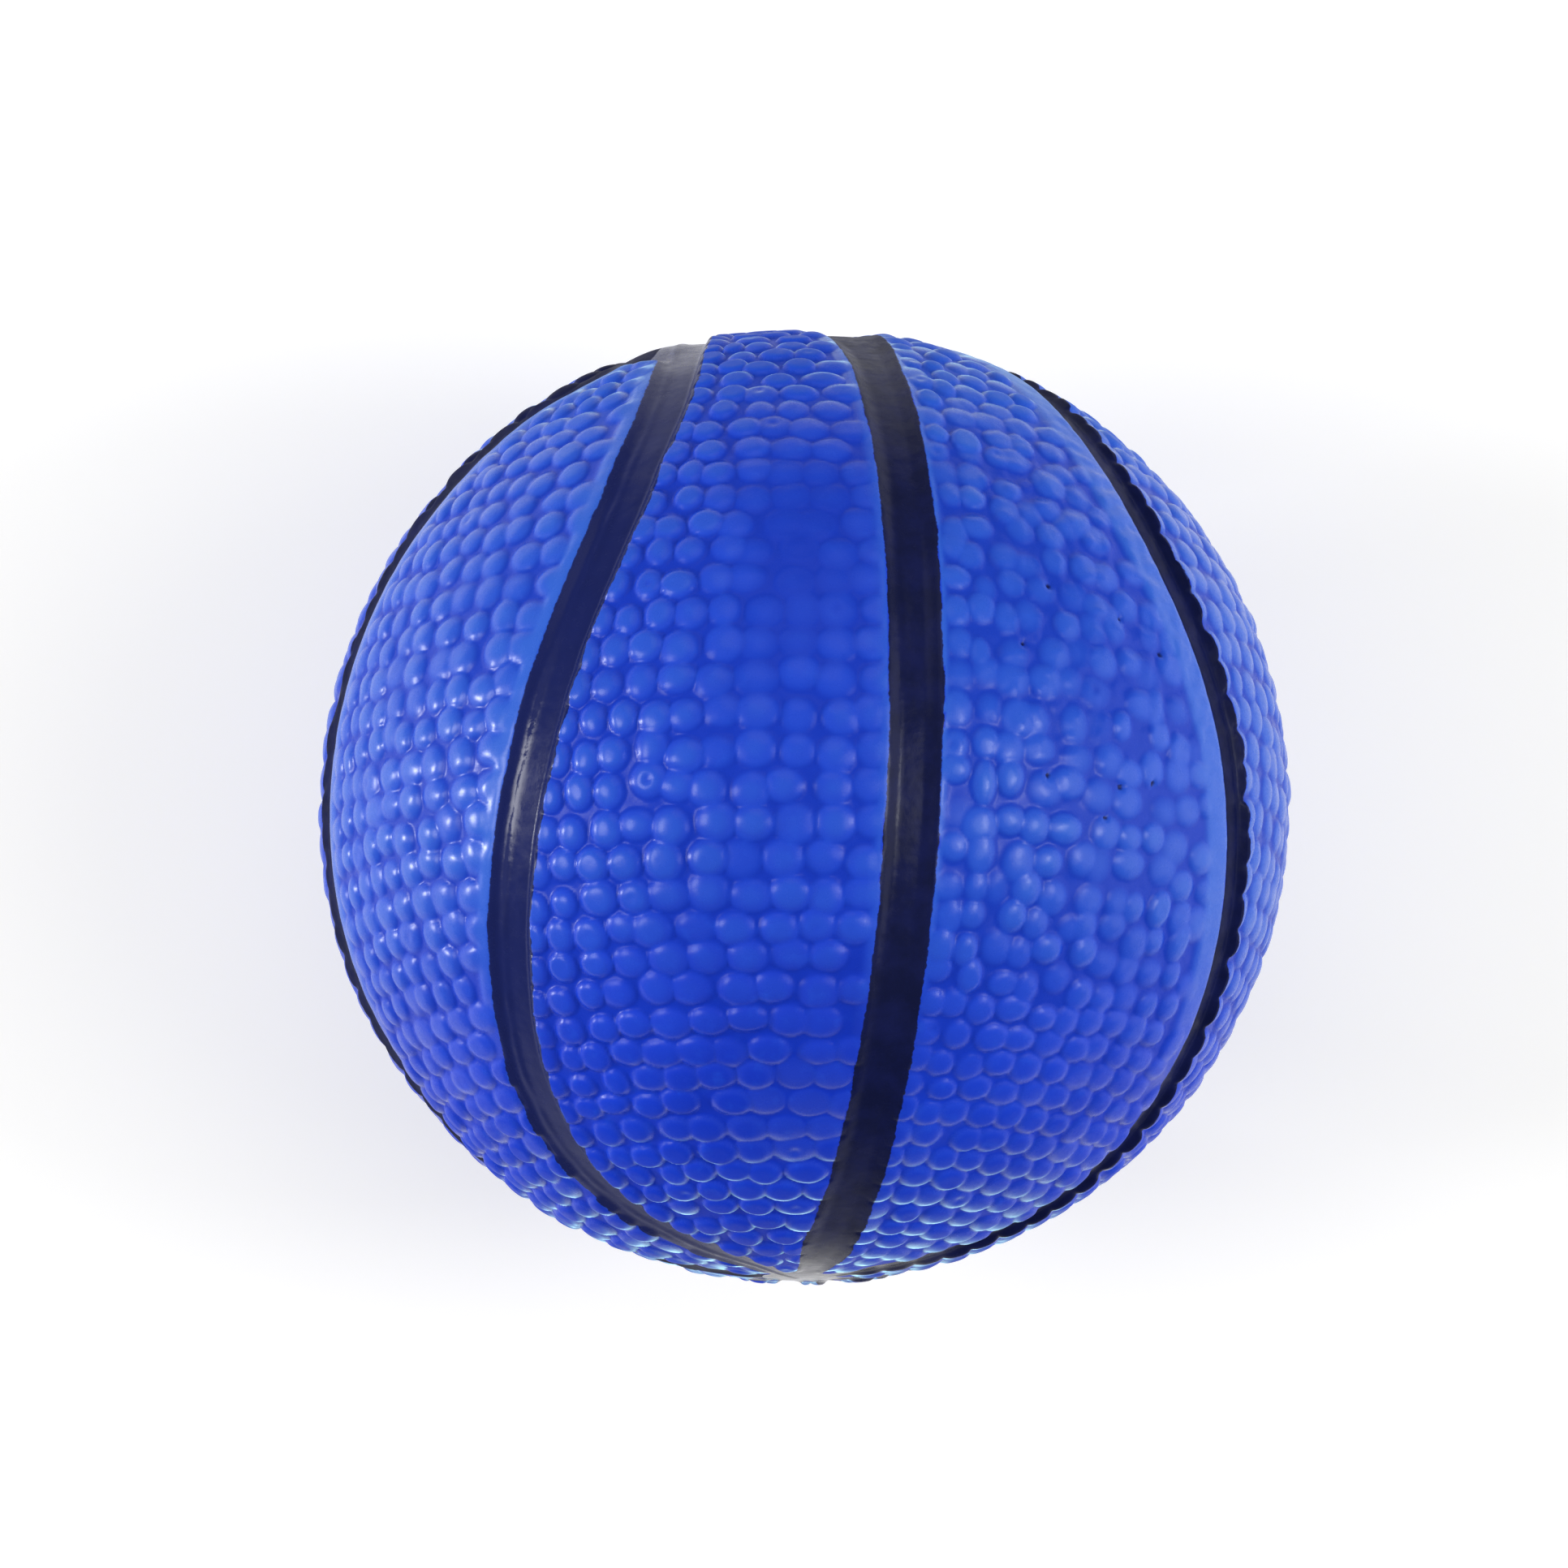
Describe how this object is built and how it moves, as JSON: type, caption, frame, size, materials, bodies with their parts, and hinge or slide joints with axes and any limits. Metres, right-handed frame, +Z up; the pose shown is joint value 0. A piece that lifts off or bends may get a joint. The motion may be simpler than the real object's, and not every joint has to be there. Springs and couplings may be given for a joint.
{
  "type": "bouncy ball",
  "caption": "Small foam bouncy ball with blue pebbled panels, divided by sunken black seam lines that run from pole to pole.",
  "frame": {"origin": "centre of the ball", "axes": "+Y along the axis through the two poles where the seam lines meet; +Z up, away from the surface it lies on, with seam_line_1 about 12 degrees from +Z towards +X"},
  "size_m": [0.063, 0.0614, 0.063],
  "materials": {
    "foam": "matte",
    "blue_skin": "satin",
    "black_seam": "satin"
  },
  "bodies": {
    "root": {"foam_core": "foam", "skin_panel_1": "blue_skin", "skin_panel_2": "blue_skin", "skin_panel_3": "blue_skin", "skin_panel_4": "blue_skin", "skin_panel_5": "blue_skin", "skin_panel_6": "blue_skin", "skin_panel_7": "blue_skin", "skin_panel_8": "blue_skin", "seam_line_1": "black_seam", "seam_line_2": "black_seam", "seam_line_3": "black_seam", "seam_line_4": "black_seam", "seam_line_5": "black_seam", "seam_line_6": "black_seam", "seam_line_7": "black_seam", "seam_line_8": "black_seam", "seam_junction_north": "black_seam", "seam_junction_south": "black_seam"}
  },
  "joints": []
}
